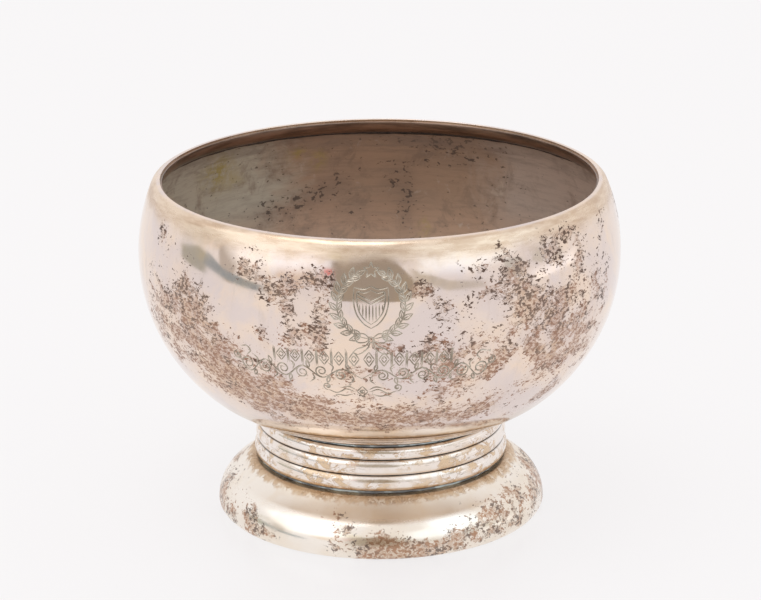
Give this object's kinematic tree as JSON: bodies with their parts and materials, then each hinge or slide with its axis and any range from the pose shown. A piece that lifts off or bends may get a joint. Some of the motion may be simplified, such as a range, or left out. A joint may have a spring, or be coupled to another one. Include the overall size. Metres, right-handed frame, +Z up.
{
  "type": "footed prize bowl",
  "caption": "Footed silver prize bowl: round belly drawn in to a thick lip, a reeded collar and a low domed foot, engraved on the front.",
  "frame": {"origin": "on the axis, in the plane of the foot wire's resting face", "axes": "+Z up along the axis of revolution, -Y towards the engraved front"},
  "size_m": [0.15, 0.15, 0.1078],
  "materials": {
    "bowl_silver": "polished silver, warm, with lacy brown tarnish outside and a dull grey-brown patina inside",
    "rim_silver": "polished silver toned brown",
    "collar_silver": "polished silver with golden stains and dark grooves",
    "foot_silver": "polished silver, creamy, brown tarnish near the edge",
    "silver_solder": "dull grey silver solder, dark with residue"
  },
  "bodies": {
    "root": {"bowl": "bowl_silver", "rim_wire": "rim_silver", "rim_solder": "silver_solder", "neck_solder": "silver_solder", "upper_reed_ring": "collar_silver", "middle_reed_ring": "collar_silver", "lower_reed_ring": "collar_silver", "collar_solder": "silver_solder", "foot": "foot_silver", "foot_wire": "foot_silver", "foot_wire_solder": "silver_solder"}
  },
  "joints": []
}
